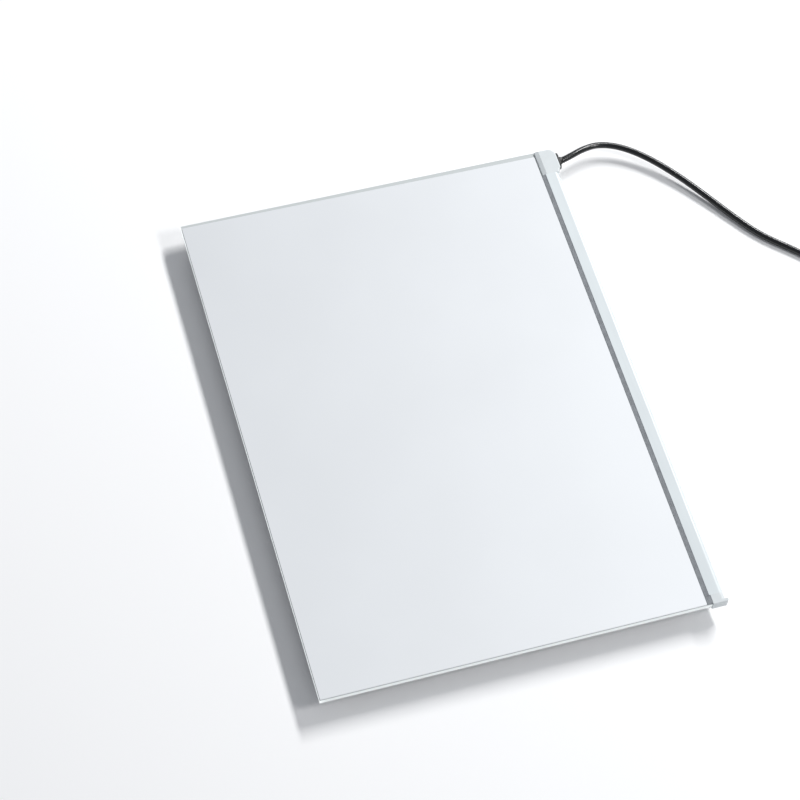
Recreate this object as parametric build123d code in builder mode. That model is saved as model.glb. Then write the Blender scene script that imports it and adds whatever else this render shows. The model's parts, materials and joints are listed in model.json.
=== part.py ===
from build123d import *
from math import cos, pi, radians, sin, tan
import os

os.makedirs("parts", exist_ok=True)

# Edge-lit light box of about A4 size, with a low-voltage lead and an in-line rocker switch.
# Row frame: +X across the short side towards the lamp channel, +Y along the long side,
# +Z up, feet on Z = 0. The origin is under the middle of the box, its lead left out.
# All lengths are in millimetres.

# ---- driving dimensions -------------------------------------------------------------
BOX_WIDTH = 229.0  # left plate edge to the outer face of the far end cap
GLOW_WIDTH = 216.0  # visible white surface, across
PLATE_LENGTH = 311.0
SLIP = 0.7  # the channel sits this much nearer the user than the plate
FOOT_HEIGHT = 9.0

BACK_T, REFLECTOR_T, GUIDE_T, TAPE_T, DIFFUSER_T = 0.5, 0.2, 3.0, 0.1, 0.6
EDGE_INSET = 0.3  # diffuser to plate edge, left and near
LEDGE_LEFT, LEDGE_RIGHT = 2.1, 3.5  # bare light guide along the far edge

SEAL_WIDTH = 2.5  # light seal showing between the diffuser and the channel
SEAL_GAP = 0.4  # open groove beside the diffuser
CHANNEL_WIDTH = 8.3
CHANNEL_WALL = 1.1
CHANNEL_TOP_R, CHANNEL_FOOT_R = 2.4, 1.4  # its outer long edges
CHANNEL_STEP = 1.2  # channel top above the plate top
FAR_CAP_LENGTH, FAR_CAP_PROUD = 17.2, 2.2
NEAR_CAP_LENGTH, NEAR_CAP_PROUD = 5.6, 1.1
TENON_LENGTH = 5.0

CORD_DIAMETER = 3.8
LED_PITCH = 8.0

# ---- derived places -----------------------------------------------------------------
X0, X1 = -BOX_WIDTH / 2, BOX_WIDTH / 2
Y0, Y1 = (SLIP - PLATE_LENGTH) / 2, (SLIP + PLATE_LENGTH) / 2
CHANNEL_Y0, CHANNEL_Y1 = Y0 - SLIP, Y1 - SLIP

BACK_Z = FOOT_HEIGHT
REFLECTOR_Z = BACK_Z + BACK_T
GUIDE_Z = REFLECTOR_Z + REFLECTOR_T
TAPE_Z = GUIDE_Z + GUIDE_T
DIFFUSER_Z = TAPE_Z + TAPE_T
PLATE_TOP = DIFFUSER_Z + DIFFUSER_T

GLOW_X1 = X0 + GLOW_WIDTH
CHANNEL_X0 = GLOW_X1 + SEAL_WIDTH
CHANNEL_X1 = CHANNEL_X0 + CHANNEL_WIDTH
CHANNEL_TOP = PLATE_TOP + CHANNEL_STEP
SLOT_Z0, SLOT_Z1 = BACK_Z - 0.05, PLATE_TOP + 0.05  # the plate stack slides in here
CHANNEL_BOTTOM = SLOT_Z0 - CHANNEL_WALL
SLOT_END = CHANNEL_X0 + 4.9  # how far the plate stack reaches into the channel
CAVITY_X1 = CHANNEL_X1 - CHANNEL_WALL  # inner face of the channel's outer wall
RUN_Y0, RUN_Y1 = CHANNEL_Y0 + NEAR_CAP_LENGTH, CHANNEL_Y1 - FAR_CAP_LENGTH
NEAR_CAP_X0 = CHANNEL_X0 + 0.7
BOARD_Y0, BOARD_Y1 = RUN_Y0 + TENON_LENGTH + 0.5, RUN_Y1 - TENON_LENGTH - 0.5

GLAND_Y, GLAND_Z = CHANNEL_Y1 - 7.8, 11.3
GLAND_FLANGE, GLAND_FLANGE_T = (11.0, 5.6), 1.3
GLAND_NOSE, GLAND_NOSE_R = 1.6, 2.6
GLAND_WAY = (6.4, 4.2)  # the hole in the far cap's wall
CAP_WALL = 1.5

FOOT_RADIUS, FOOT_INSET = 7.0, 16.0

# ---- the lead -----------------------------------------------------------------------
CORD_R = CORD_DIAMETER / 2
EXIT_X = X1 + GLAND_FLANGE_T + GLAND_NOSE
SWITCH_X, SWITCH_Y, SWITCH_CORD_Z = 262.0, -22.0, 4.6
SWITCH_WIDTH, SWITCH_LENGTH, SWITCH_HEIGHT = 22.0, 56.0, 15.0

TURN_PITCH = 3.85
COIL_LIFT = 0.6  # the tie passes under the turns
COIL_MIDDLE_R = 22.6
TURNS_WIDE, TURNS_HIGH = 4, 2
COIL_WIDTH = (TURNS_WIDE - 1) * TURN_PITCH + CORD_DIAMETER
COIL_HEIGHT = (TURNS_HIGH - 1) * TURN_PITCH + CORD_DIAMETER
COIL_OUTER_TURN = COIL_MIDDLE_R + (COIL_WIDTH - CORD_DIAMETER) / 2
COIL_X, COIL_Y = SWITCH_X - COIL_OUTER_TURN, -84.0
COIL_LOW_Z = COIL_LIFT + CORD_R
COIL_HIGH_Z = COIL_LOW_Z + COIL_HEIGHT - CORD_DIAMETER

PLUG_X, PLUG_REAR_Y, PLUG_R = 236.0, -27.0, 4.8

CORD_RUNS = {
    "cord_lead": [
        (EXIT_X, GLAND_Y, GLAND_Z),
        (124.0, 149.4, 11.0),
        (132.0, 152.9, 9.9),
        (143.5, 155.9, 8.0),
        (157.0, 152.3, 6.3),
        (171.0, 141.9, 4.7),
        (185.0, 125.8, 3.1),
        (197.0, 108.0, 2.1),
        (208.5, 89.0, 1.95),
        (219.0, 72.0, 1.95),
        (236.0, 56.0, 1.95),
        (249.5, 41.5, 2.0),
        (258.5, 28.0, 3.2),
        (SWITCH_X, 14.0, SWITCH_CORD_Z),
        (SWITCH_X, -2.0, SWITCH_CORD_Z),
    ],
    "cord_tail": [
        (SWITCH_X, -42.0, SWITCH_CORD_Z),
        (SWITCH_X, -58.0, SWITCH_CORD_Z),
        (262.3, -69.0, 3.1),
        (SWITCH_X, -80.0, COIL_LOW_Z),
    ],
    "cord_tip": [
        (213.6, -63.9, COIL_HIGH_Z),
        (222.4, -55.1, 6.3),
        (232.8, -44.7, 5.2),
        (PLUG_X, -37.0, PLUG_R),
        (PLUG_X, PLUG_REAR_Y, PLUG_R),
    ],
}


def rectangle(x0, x1, y0, y1, mode=Mode.ADD):
    """A rectangle from its corners, in the sketch being built."""
    with Locations(((x0 + x1) / 2, (y0 + y1) / 2)):
        Rectangle(x1 - x0, y1 - y0, mode=mode)


def across(y):
    """The XZ plane at this Y, from which a positive extrusion runs towards -Y."""
    return Plane.XZ.offset(-y)


def facing_x(x, y=0.0, z=0.0):
    """A plane that faces +X, with Y to its right and Z up."""
    return Plane(origin=(x, y, z), x_dir=(0, 1, 0), z_dir=(1, 0, 0))


# ---- the plate stack ----------------------------------------------------------------
STACK = {
    "back_plate": (BACK_Z, BACK_T),
    "reflector_film": (REFLECTOR_Z, REFLECTOR_T),
    "light_guide": (GUIDE_Z, GUIDE_T),
}
for name, (height, thickness) in STACK.items():
    with BuildPart() as layer:
        with BuildSketch(Plane.XY.offset(height)):
            rectangle(X0, SLOT_END, Y0, Y1)
        extrude(amount=thickness)
        if name == "light_guide":
            polished = layer.faces().filter_by(Axis.Z).edges().filter_by(Axis.X)
            chamfer(polished, length=0.2)
    layer.part.label = name
    export_step(layer.part, f"parts/{name}.step")

with BuildPart() as diffuser:
    with BuildSketch(Plane.XY.offset(DIFFUSER_Z)):
        with BuildLine():
            Polyline(
                (X0 + EDGE_INSET, Y0 + EDGE_INSET),
                (GLOW_X1, Y0 + EDGE_INSET),
                (GLOW_X1, Y1 - LEDGE_RIGHT),
                (X0 + EDGE_INSET, Y1 - LEDGE_LEFT),
                close=True,
            )
        make_face()
    extrude(amount=DIFFUSER_T)
    fillet(diffuser.edges().filter_by(Axis.Z), radius=0.5)
diffuser.part.label = "diffuser"
export_step(diffuser.part, "parts/diffuser.step")

# Clear bonding tape holds the diffuser off the light guide along three edges.
TAPE_W, TAPE_SETBACK = 4.0, 0.9
TAPES = {
    "bond_tape_left": (X0 + TAPE_SETBACK, X0 + TAPE_SETBACK + TAPE_W, Y0 + 8, Y1 - 8),
    "bond_tape_near": (X0 + 2, GLOW_X1 - 2, Y0 + TAPE_SETBACK, Y0 + TAPE_SETBACK + TAPE_W),
    "bond_tape_far": (X0 + 2, GLOW_X1 - 2, Y1 - LEDGE_RIGHT - TAPE_W, Y1 - LEDGE_RIGHT - 0.3),
}
for name, edges in TAPES.items():
    with BuildPart() as tape:
        with BuildSketch(Plane.XY.offset(TAPE_Z)):
            rectangle(*edges)
        extrude(amount=TAPE_T)
    tape.part.label = name
    export_step(tape.part, f"parts/{name}.step")

# Grey foam strip that stops stray light at the channel's lip. It slopes up from the plate to
# the lip, and its root runs on underneath.
SEAL_ROOT_X1, SEAL_ROOT_TOP = CHANNEL_X0 + 1.8, PLATE_TOP - 0.1
with BuildPart() as light_seal:
    for lip_x, far_y, near_y in (
        (CHANNEL_X0, RUN_Y1, RUN_Y0),
        (NEAR_CAP_X0, RUN_Y0, Y0 + EDGE_INSET),
    ):
        with BuildSketch(across(far_y)):
            with BuildLine():
                Polyline(
                    (GLOW_X1 + SEAL_GAP, TAPE_Z),
                    (GLOW_X1 + SEAL_GAP, SEAL_ROOT_TOP),
                    (lip_x - 0.05, CHANNEL_TOP - 0.15),
                    (lip_x - 0.05, SEAL_ROOT_TOP),
                    (SEAL_ROOT_X1, SEAL_ROOT_TOP),
                    (SEAL_ROOT_X1, TAPE_Z),
                    close=True,
                )
            make_face()
        extrude(amount=far_y - near_y)
light_seal.part.label = "light_seal"
export_step(light_seal.part, "parts/light_seal.step")

# ---- the lamp channel and its end caps ----------------------------------------------


def channel_section(sketch, x0):
    """The channel's C-shaped section from this X outwards, in the XZ sketch being built."""
    rectangle(x0, CHANNEL_X1, CHANNEL_BOTTOM, CHANNEL_TOP)
    outer = sketch.vertices().group_by(Axis.X)[-1].sort_by(Axis.Y)
    fillet(outer[-1], radius=CHANNEL_TOP_R)
    fillet(outer[0], radius=CHANNEL_FOOT_R)
    rectangle(x0 - 1, CAVITY_X1, SLOT_Z0, SLOT_Z1, mode=Mode.SUBTRACT)


with BuildPart() as led_channel:
    with BuildSketch(across(RUN_Y1)) as profile:
        channel_section(profile, CHANNEL_X0)
    extrude(amount=RUN_Y1 - RUN_Y0)
led_channel.part.label = "led_channel"
export_step(led_channel.part, "parts/led_channel.step")

TENON_X0, TENON_X1 = SLOT_END + 0.15, CAVITY_X1 - 0.05
TENON_T = 0.8  # a tenon is two tongues, with the wires' way between them

# The far cap carries the lead. Its inner lip slopes down to the plate, its far outer corner is
# round, and outside it draws in to the channel's width. The plate stack runs right through it.
CAP_LIP_X0 = GLOW_X1 + 0.6
FAR_CORNER_R, NEAR_CORNER_R = 4.6, 1.0
DRAW_IN_Y1 = RUN_Y1 + 3.6
with BuildPart() as end_cap_far:
    with BuildSketch(across(CHANNEL_Y1)):
        with BuildLine():
            Polyline(
                (CAP_LIP_X0, SLOT_Z1),
                (CAP_LIP_X0 + 0.4, SLOT_Z1 + 0.35),
                (CHANNEL_X0 + 0.7, CHANNEL_TOP),
                (X1, CHANNEL_TOP),
                (X1, CHANNEL_BOTTOM),
                (CHANNEL_X0, CHANNEL_BOTTOM),
                (CHANNEL_X0, SLOT_Z0),
                (SLOT_END + 0.1, SLOT_Z0),
                (SLOT_END + 0.1, SLOT_Z1),
                close=True,
            )
        make_face()
    extrude(amount=FAR_CAP_LENGTH)
    with BuildSketch(Plane.XY.offset(CHANNEL_BOTTOM)):
        with BuildLine():
            Polyline((CHANNEL_X1, RUN_Y1), (X1, DRAW_IN_Y1), (X1, RUN_Y1), close=True)
        make_face()
    extrude(amount=CHANNEL_TOP - CHANNEL_BOTTOM, mode=Mode.SUBTRACT)
    outer_uprights = end_cap_far.edges().filter_by(Axis.Z).sort_by(Axis.X)[-2:]
    fillet(outer_uprights.sort_by(Axis.Y)[-1:], radius=FAR_CORNER_R)
    fillet(end_cap_far.edges().filter_by(Axis.Z).sort_by(Axis.X)[-1:], radius=NEAR_CORNER_R)
    top_rim = end_cap_far.faces().sort_by(Axis.Z)[-1].edges().sort_by(Axis.X)[1:]
    fillet(top_rim.filter_by(lambda edge: edge.center().X > CHANNEL_X1), radius=0.7)
    # wire chamber, open towards the channel
    with BuildSketch(Plane.XY.offset(SLOT_Z0)):
        rectangle(SLOT_END, CAVITY_X1, RUN_Y1, CHANNEL_Y1 - CAP_WALL)
        rectangle(SLOT_END, X1 - CAP_WALL, DRAW_IN_Y1, CHANNEL_Y1 - CAP_WALL)
    extrude(amount=SLOT_Z1 - SLOT_Z0, mode=Mode.SUBTRACT)
    # way through the outer wall for the lead's gland
    with BuildSketch(facing_x(X1 - CAP_WALL - 0.5, GLAND_Y, GLAND_Z)):
        SlotOverall(*GLAND_WAY)
    extrude(amount=CAP_WALL + 1, mode=Mode.SUBTRACT)
    # tongues that plug into the channel
    tongue_zs = (SLOT_Z0 + 0.05, SLOT_Z1 - 0.05 - TENON_T)
    for tongue_z, root_z in zip(tongue_zs, (SLOT_Z0 - 0.1, tongue_zs[1])):
        with BuildSketch(Plane.XY.offset(tongue_z)):
            rectangle(TENON_X0, TENON_X1, RUN_Y1 - TENON_LENGTH, RUN_Y1)
        extrude(amount=TENON_T)
        with BuildSketch(Plane.XY.offset(root_z)):
            rectangle(TENON_X0, TENON_X1, RUN_Y1, RUN_Y1 + 2.5)
        extrude(amount=TENON_T + 0.15)
end_cap_far.part.label = "end_cap_far"
export_step(end_cap_far.part, "parts/end_cap_far.step")

# The near cap continues the channel's section, with a thin end flange that stands proud outside.
NEAR_WALL = 0.65  # closes the slot in front of the plate stack
NEAR_FLANGE_T = 1.6
with BuildPart() as end_cap_near:
    with BuildSketch(across(RUN_Y0)) as profile:
        channel_section(profile, NEAR_CAP_X0)
    extrude(amount=NEAR_CAP_LENGTH - NEAR_WALL)
    with BuildSketch(across(CHANNEL_Y0 + NEAR_WALL)):
        rectangle(NEAR_CAP_X0, CHANNEL_X1 - CHANNEL_TOP_R, CHANNEL_BOTTOM, CHANNEL_TOP)
    extrude(amount=NEAR_WALL)
    with BuildSketch(across(CHANNEL_Y0 + NEAR_FLANGE_T)):
        rectangle(
            CHANNEL_X1 - CHANNEL_TOP_R, CHANNEL_X1 + NEAR_CAP_PROUD, CHANNEL_BOTTOM, CHANNEL_TOP
        )
    extrude(amount=NEAR_FLANGE_T)
    outer_corner = end_cap_near.edges().filter_by(Axis.Z).sort_by(Axis.X)[-2:]
    fillet(outer_corner, radius=0.7)
    end_face = end_cap_near.faces().sort_by(Axis.Y)[0]
    fillet(end_face.edges().filter_by(Axis.X).sort_by(Axis.Z)[0], radius=0.6)
    with BuildSketch(Plane.XY.offset(SLOT_Z0 + 0.05)):
        rectangle(TENON_X0, TENON_X1, RUN_Y0 - 3, RUN_Y0 + TENON_LENGTH)
        rectangle(TENON_X0, CAVITY_X1, RUN_Y0 - 3, RUN_Y0)
    extrude(amount=SLOT_Z1 - SLOT_Z0 - 0.1)
end_cap_near.part.label = "end_cap_near"
export_step(end_cap_near.part, "parts/end_cap_near.step")

# ---- lamps on their board -----------------------------------------------------------
PAD_T, BOARD_T = 0.15, 0.8
LED_LENGTH, LED_WIDTH, LED_T = 3.5, 2.8, 0.8
RESISTOR_LENGTH, RESISTOR_WIDTH, RESISTOR_T = 1.6, 0.9, 0.45
BOARD_X0 = CAVITY_X1 - PAD_T - BOARD_T
BOARD_Z0, BOARD_Z1 = SLOT_Z0 + 0.15, SLOT_Z1 - 0.15
BOARD_MIDDLE_Z = (BOARD_Z0 + BOARD_Z1) / 2

with BuildPart() as thermal_pad:
    with BuildSketch(Plane.XY.offset(BOARD_Z0)):
        rectangle(CAVITY_X1 - PAD_T, CAVITY_X1, BOARD_Y0, BOARD_Y1)
    extrude(amount=BOARD_Z1 - BOARD_Z0)
thermal_pad.part.label = "thermal_pad"
export_step(thermal_pad.part, "parts/thermal_pad.step")

with BuildPart() as led_board:
    with BuildSketch(Plane.XY.offset(BOARD_Z0)):
        rectangle(BOARD_X0, BOARD_X0 + BOARD_T, BOARD_Y0, BOARD_Y1)
    extrude(amount=BOARD_Z1 - BOARD_Z0)
led_board.part.label = "led_board"
export_step(led_board.part, "parts/led_board.step")

LED_COUNT = int((BOARD_Y1 - BOARD_Y0 - 8) // LED_PITCH) + 1
LED_Y0 = (BOARD_Y0 + BOARD_Y1 - (LED_COUNT - 1) * LED_PITCH) / 2
LED_PLACES = [LED_Y0 + i * LED_PITCH for i in range(LED_COUNT)]
RESISTOR_PLACES = [y + LED_PITCH / 2 for y in LED_PLACES[1:-1:3]]
with BuildPart() as leds:
    with BuildSketch(facing_x(BOARD_X0 - LED_T)):
        with Locations(*[(y, BOARD_MIDDLE_Z) for y in LED_PLACES]):
            Rectangle(LED_LENGTH, LED_WIDTH)
    extrude(amount=LED_T)
leds.part.label = "leds"
export_step(leds.part, "parts/leds.step")

with BuildPart() as resistors:
    with BuildSketch(facing_x(BOARD_X0 - RESISTOR_T)):
        with Locations(*[(y, BOARD_MIDDLE_Z) for y in RESISTOR_PLACES]):
            Rectangle(RESISTOR_WIDTH, RESISTOR_LENGTH)
    extrude(amount=RESISTOR_T)
resistors.part.label = "resistors"
export_step(resistors.part, "parts/resistors.step")

# Two wires run from the lead's end in the far cap to the end of the board.
WIRE_R = 0.55
GLAND_HEAD_X = X1 - CAP_WALL - 1.0
for name, side in {"board_wire_plus": 1, "board_wire_minus": -1}.items():
    wire_z = BOARD_MIDDLE_Z + 0.75 * side
    with BuildPart() as wire:
        with BuildLine() as path:
            FilletPolyline(
                (GLAND_HEAD_X, GLAND_Y + 0.5 * side, wire_z),
                (BOARD_X0 + 0.1, GLAND_Y + 0.5 * side, wire_z),
                (BOARD_X0 - 0.3, GLAND_Y - 9.0, wire_z),
                (BOARD_X0 - WIRE_R - 0.05, BOARD_Y1 + 3, wire_z),
                (BOARD_X0 - WIRE_R - 0.05, BOARD_Y1 - 2.0, wire_z),
                radius=[0.8, 4.0, 6.0],
            )
        with BuildSketch(Plane(origin=path.line @ 0, z_dir=path.line % 0)):
            Circle(WIRE_R)
        sweep(path=path.wires()[0])
    wire.part.label = name
    export_step(wire.part, f"parts/{name}.step")

# ---- gland, feet --------------------------------------------------------------------
with BuildPart() as cord_gland:
    with BuildSketch(facing_x(X1, GLAND_Y, GLAND_Z)):
        SlotOverall(*GLAND_FLANGE)
    extrude(amount=GLAND_FLANGE_T)
    fillet(cord_gland.edges().sort_by(Axis.X)[-1:], radius=0.5)
    with BuildSketch(facing_x(X1 + GLAND_FLANGE_T, GLAND_Y, GLAND_Z)):
        Circle(GLAND_NOSE_R)
    with BuildSketch(facing_x(EXIT_X, GLAND_Y, GLAND_Z)):
        Circle(CORD_R + 0.15)
    loft()
    with BuildSketch(facing_x(X1 - CAP_WALL, GLAND_Y, GLAND_Z)):
        SlotOverall(GLAND_WAY[0] - 0.1, GLAND_WAY[1] - 0.1)
    extrude(amount=CAP_WALL)
    with BuildSketch(facing_x(GLAND_HEAD_X, GLAND_Y, GLAND_Z)):
        SlotOverall(GLAND_WAY[0] + 2.0, GLAND_WAY[1] - 0.1)  # head, inside the cap
    extrude(amount=X1 - CAP_WALL - GLAND_HEAD_X)
cord_gland.part.label = "cord_gland"
export_step(cord_gland.part, "parts/cord_gland.step")

FOOT_PLACES = {
    "foot_far_left": (X0 + FOOT_INSET, Y1 - FOOT_INSET),
    "foot_far_right": (CHANNEL_X0 - FOOT_INSET, Y1 - FOOT_INSET),
    "foot_near_left": (X0 + FOOT_INSET, Y0 + FOOT_INSET),
    "foot_near_right": (CHANNEL_X0 - FOOT_INSET, Y0 + FOOT_INSET),
}
FOOT_PAD_T = 0.3
for name, place in FOOT_PLACES.items():
    with BuildPart() as foot:
        with BuildSketch(Plane.XY.offset(FOOT_HEIGHT - FOOT_PAD_T)):
            with Locations(place):
                Circle(FOOT_RADIUS)
        extrude(amount=-(FOOT_HEIGHT - FOOT_PAD_T), taper=7)
        fillet(foot.edges().sort_by(Axis.Z)[:1], radius=0.8)
    foot.part.label = name
    export_step(foot.part, f"parts/{name}.step")

with BuildPart() as foot_pads:
    with BuildSketch(Plane.XY.offset(FOOT_HEIGHT - FOOT_PAD_T)):
        with Locations(*FOOT_PLACES.values()):
            Circle(FOOT_RADIUS - 0.5)
    extrude(amount=FOOT_PAD_T)
foot_pads.part.label = "foot_pads"
export_step(foot_pads.part, "parts/foot_pads.step")

# ---- in-line switch -----------------------------------------------------------------
SHELL_WALL = 1.6
SWITCH_Y0, SWITCH_Y1 = SWITCH_Y - SWITCH_LENGTH / 2, SWITCH_Y + SWITCH_LENGTH / 2
SWITCH_CORNER_R = 8.0
ROOF_Z = SWITCH_HEIGHT - SHELL_WALL
SPLIT_Z = SWITCH_CORD_Z
PARTING_BEVEL = 0.3  # a small groove shows where the two shells meet
CABLE_HOLE_R = CORD_R + 0.05
BOSS_PLACES = [(SWITCH_X - 6.4, SWITCH_Y + 18.5), (SWITCH_X + 6.4, SWITCH_Y - 18.5)]
BOSS_R, SCREW_R, SCREW_HEAD_R = 2.3, 0.9, 1.7
PIVOT_Z = 12.0
ROCKER_WIDTH, ROCKER_HALF_LENGTH, ROCKER_RISE = 10.0, 8.4, 4.4
ROCKER_TILT = 8.0  # the rocker rests this far down at its off end
ROCKER_PIN_R, ROCKER_PIN_LENGTH = 1.2, 1.5
WINDOW_X, WINDOW_Y = ROCKER_WIDTH + 0.7, 2 * ROCKER_HALF_LENGTH + 2.0
EAR_X0, EAR_X1 = ROCKER_WIDTH / 2 + 0.35, ROCKER_WIDTH / 2 + 2.2


def switch_plan(inset):
    """The switch's rounded outline, drawn in by the inset, in the sketch being built."""
    with Locations((SWITCH_X, SWITCH_Y)):
        RectangleRounded(
            SWITCH_WIDTH - 2 * inset, SWITCH_LENGTH - 2 * inset, SWITCH_CORNER_R - inset
        )


with BuildPart() as switch_base:
    with BuildSketch():
        switch_plan(0)
    extrude(amount=SPLIT_Z)
    fillet(switch_base.faces().sort_by(Axis.Z)[0].edges(), radius=1.2)
    chamfer(switch_base.faces().sort_by(Axis.Z)[-1].edges(), length=PARTING_BEVEL)
    with BuildSketch(Plane.XY.offset(SHELL_WALL)):
        switch_plan(SHELL_WALL)
    extrude(amount=SPLIT_Z, mode=Mode.SUBTRACT)
    with BuildSketch(Plane.XY.offset(SHELL_WALL)):
        with Locations(*BOSS_PLACES):
            Circle(BOSS_R)
    extrude(amount=SPLIT_Z - SHELL_WALL)
    with BuildSketch():
        with Locations(*BOSS_PLACES):
            Circle(SCREW_R + 0.2)
    extrude(amount=SPLIT_Z, mode=Mode.SUBTRACT)
    with BuildSketch():
        with Locations(*BOSS_PLACES):
            Circle(SCREW_HEAD_R + 0.1)
    extrude(amount=1.4, mode=Mode.SUBTRACT)
    with BuildSketch(across(SWITCH_Y1 + 1)):
        with Locations((SWITCH_X, SWITCH_CORD_Z)):
            Circle(CABLE_HOLE_R)
    extrude(amount=SWITCH_LENGTH + 2, mode=Mode.SUBTRACT)
switch_base.part.label = "switch_base"
export_step(switch_base.part, "parts/switch_base.step")

with BuildPart() as switch_cover:
    with BuildSketch(Plane.XY.offset(SPLIT_Z)):
        switch_plan(0)
    extrude(amount=SWITCH_HEIGHT - SPLIT_Z)
    fillet(switch_cover.faces().sort_by(Axis.Z)[-1].edges(), radius=2.5)
    chamfer(switch_cover.faces().sort_by(Axis.Z)[0].edges(), length=PARTING_BEVEL)
    with BuildSketch(Plane.XY.offset(SPLIT_Z)):
        switch_plan(SHELL_WALL)
    extrude(amount=ROOF_Z - SPLIT_Z, mode=Mode.SUBTRACT)
    with BuildSketch(Plane.XY.offset(ROOF_Z)):
        with Locations((SWITCH_X, SWITCH_Y)):
            RectangleRounded(WINDOW_X, WINDOW_Y, 1.0)
    extrude(amount=SHELL_WALL + 1, mode=Mode.SUBTRACT)
    # ears for the rocker's pins
    with BuildSketch(Plane.XY.offset(PIVOT_Z - ROCKER_PIN_R - 1.2)):
        for side in (-1, 1):
            with Locations((SWITCH_X + side * (EAR_X0 + EAR_X1) / 2, SWITCH_Y)):
                Rectangle(EAR_X1 - EAR_X0, 6.0)
    extrude(amount=ROOF_Z - PIVOT_Z + ROCKER_PIN_R + 1.2)
    with BuildSketch(facing_x(SWITCH_X - EAR_X1 - 0.1, SWITCH_Y, PIVOT_Z)):
        Circle(ROCKER_PIN_R + 0.05)
    extrude(amount=2 * EAR_X1 + 0.2, mode=Mode.SUBTRACT)
    # screw bosses with pilot holes
    with BuildSketch(Plane.XY.offset(SPLIT_Z)):
        with Locations(*BOSS_PLACES):
            Circle(BOSS_R)
    extrude(amount=ROOF_Z - SPLIT_Z)
    with BuildSketch(Plane.XY.offset(SPLIT_Z)):
        with Locations(*BOSS_PLACES):
            Circle(SCREW_R + 0.05)
    extrude(amount=6.0, mode=Mode.SUBTRACT)
    with BuildSketch(across(SWITCH_Y1 + 1)):
        with Locations((SWITCH_X, SWITCH_CORD_Z)):
            Circle(CABLE_HOLE_R)
    extrude(amount=SWITCH_LENGTH + 2, mode=Mode.SUBTRACT)
switch_cover.part.label = "switch_cover"
export_step(switch_cover.part, "parts/switch_cover.step")

# The rocker is drawn about its pivot, already tilted to its off position.
rocker_plane = Plane(
    origin=(SWITCH_X - ROCKER_WIDTH / 2, SWITCH_Y, PIVOT_Z),
    x_dir=(0, cos(radians(-ROCKER_TILT)), sin(radians(-ROCKER_TILT))),
    z_dir=(1, 0, 0),
)
with BuildPart() as switch_rocker:
    with BuildSketch(rocker_plane):
        with BuildLine():
            Line((ROCKER_HALF_LENGTH, ROCKER_RISE), (ROCKER_HALF_LENGTH, -0.6))
            Line((ROCKER_HALF_LENGTH, -0.6), (2.4, -2.6))
            Line((2.4, -2.6), (-2.4, -2.6))
            Line((-2.4, -2.6), (-ROCKER_HALF_LENGTH, -0.6))
            Line((-ROCKER_HALF_LENGTH, -0.6), (-ROCKER_HALF_LENGTH, ROCKER_RISE))
            ThreePointArc(
                (-ROCKER_HALF_LENGTH, ROCKER_RISE),
                (0, ROCKER_RISE - 1.3),
                (ROCKER_HALF_LENGTH, ROCKER_RISE),
            )
        make_face()
    extrude(amount=ROCKER_WIDTH)
    fillet(switch_rocker.edges().filter_by(Axis.X).sort_by(Axis.Z)[-2:], radius=0.6)
    with BuildSketch(rocker_plane.offset(-ROCKER_PIN_LENGTH)):
        Circle(ROCKER_PIN_R)
    extrude(amount=ROCKER_WIDTH + 2 * ROCKER_PIN_LENGTH)
switch_rocker.part.label = "switch_rocker"
export_step(switch_rocker.part, "parts/switch_rocker.step")

with BuildPart() as switch_screws:
    with BuildSketch(Plane.XY.offset(0.3)):
        with Locations(*BOSS_PLACES):
            Circle(SCREW_HEAD_R)
            Rectangle(2 * SCREW_HEAD_R - 0.8, 0.5, mode=Mode.SUBTRACT)
    extrude(amount=0.5)
    with BuildSketch(Plane.XY.offset(0.8)):
        with Locations(*BOSS_PLACES):
            Circle(SCREW_HEAD_R)
    extrude(amount=0.5)
    with BuildSketch(Plane.XY.offset(1.3)):
        with Locations(*BOSS_PLACES):
            Circle(SCREW_R)
    extrude(amount=8.0)
switch_screws.part.label = "switch_screws"
export_step(switch_screws.part, "parts/switch_screws.step")

# Brass terminals for the switched conductor, and the leaf that the rocker presses.
TERMINAL_X, TERMINAL_Z1 = SWITCH_X + 3.6, 6.4
LEAD_END_Y, TAIL_END_Y = CORD_RUNS["cord_lead"][-1][1], CORD_RUNS["cord_tail"][0][1]
TERMINAL_INSET = 8.5  # from a cord's cut end to the middle of its terminal
TERMINAL_PLACES = [
    (TERMINAL_X, LEAD_END_Y - TERMINAL_INSET),
    (TERMINAL_X, TAIL_END_Y + TERMINAL_INSET),
]
with BuildPart() as switch_terminals:
    with BuildSketch(Plane.XY.offset(SHELL_WALL)):
        with Locations(*TERMINAL_PLACES):
            Rectangle(4.0, 5.0)
    extrude(amount=TERMINAL_Z1 - SHELL_WALL)
switch_terminals.part.label = "switch_terminals"
export_step(switch_terminals.part, "parts/switch_terminals.step")

with BuildPart() as switch_contact:
    with BuildSketch(Plane.XY.offset(TERMINAL_Z1)):
        rectangle(
            TERMINAL_X - 1.5, TERMINAL_X + 1.5, TERMINAL_PLACES[1][1] - 1, TERMINAL_PLACES[0][1] + 1
        )
    extrude(amount=0.4)
switch_contact.part.label = "switch_contact"
export_step(switch_contact.part, "parts/switch_contact.step")

# One conductor passes straight through the switch; the other ends at the terminals.
WIRE_SPAN = LEAD_END_Y - TAIL_END_Y
with BuildPart() as switch_wire_through:
    with BuildSketch(across(LEAD_END_Y)):
        with Locations((SWITCH_X - 0.9, SWITCH_CORD_Z)):
            Circle(WIRE_R)
    extrude(amount=WIRE_SPAN)
switch_wire_through.part.label = "switch_wire_through"
export_step(switch_wire_through.part, "parts/switch_wire_through.step")

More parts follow.
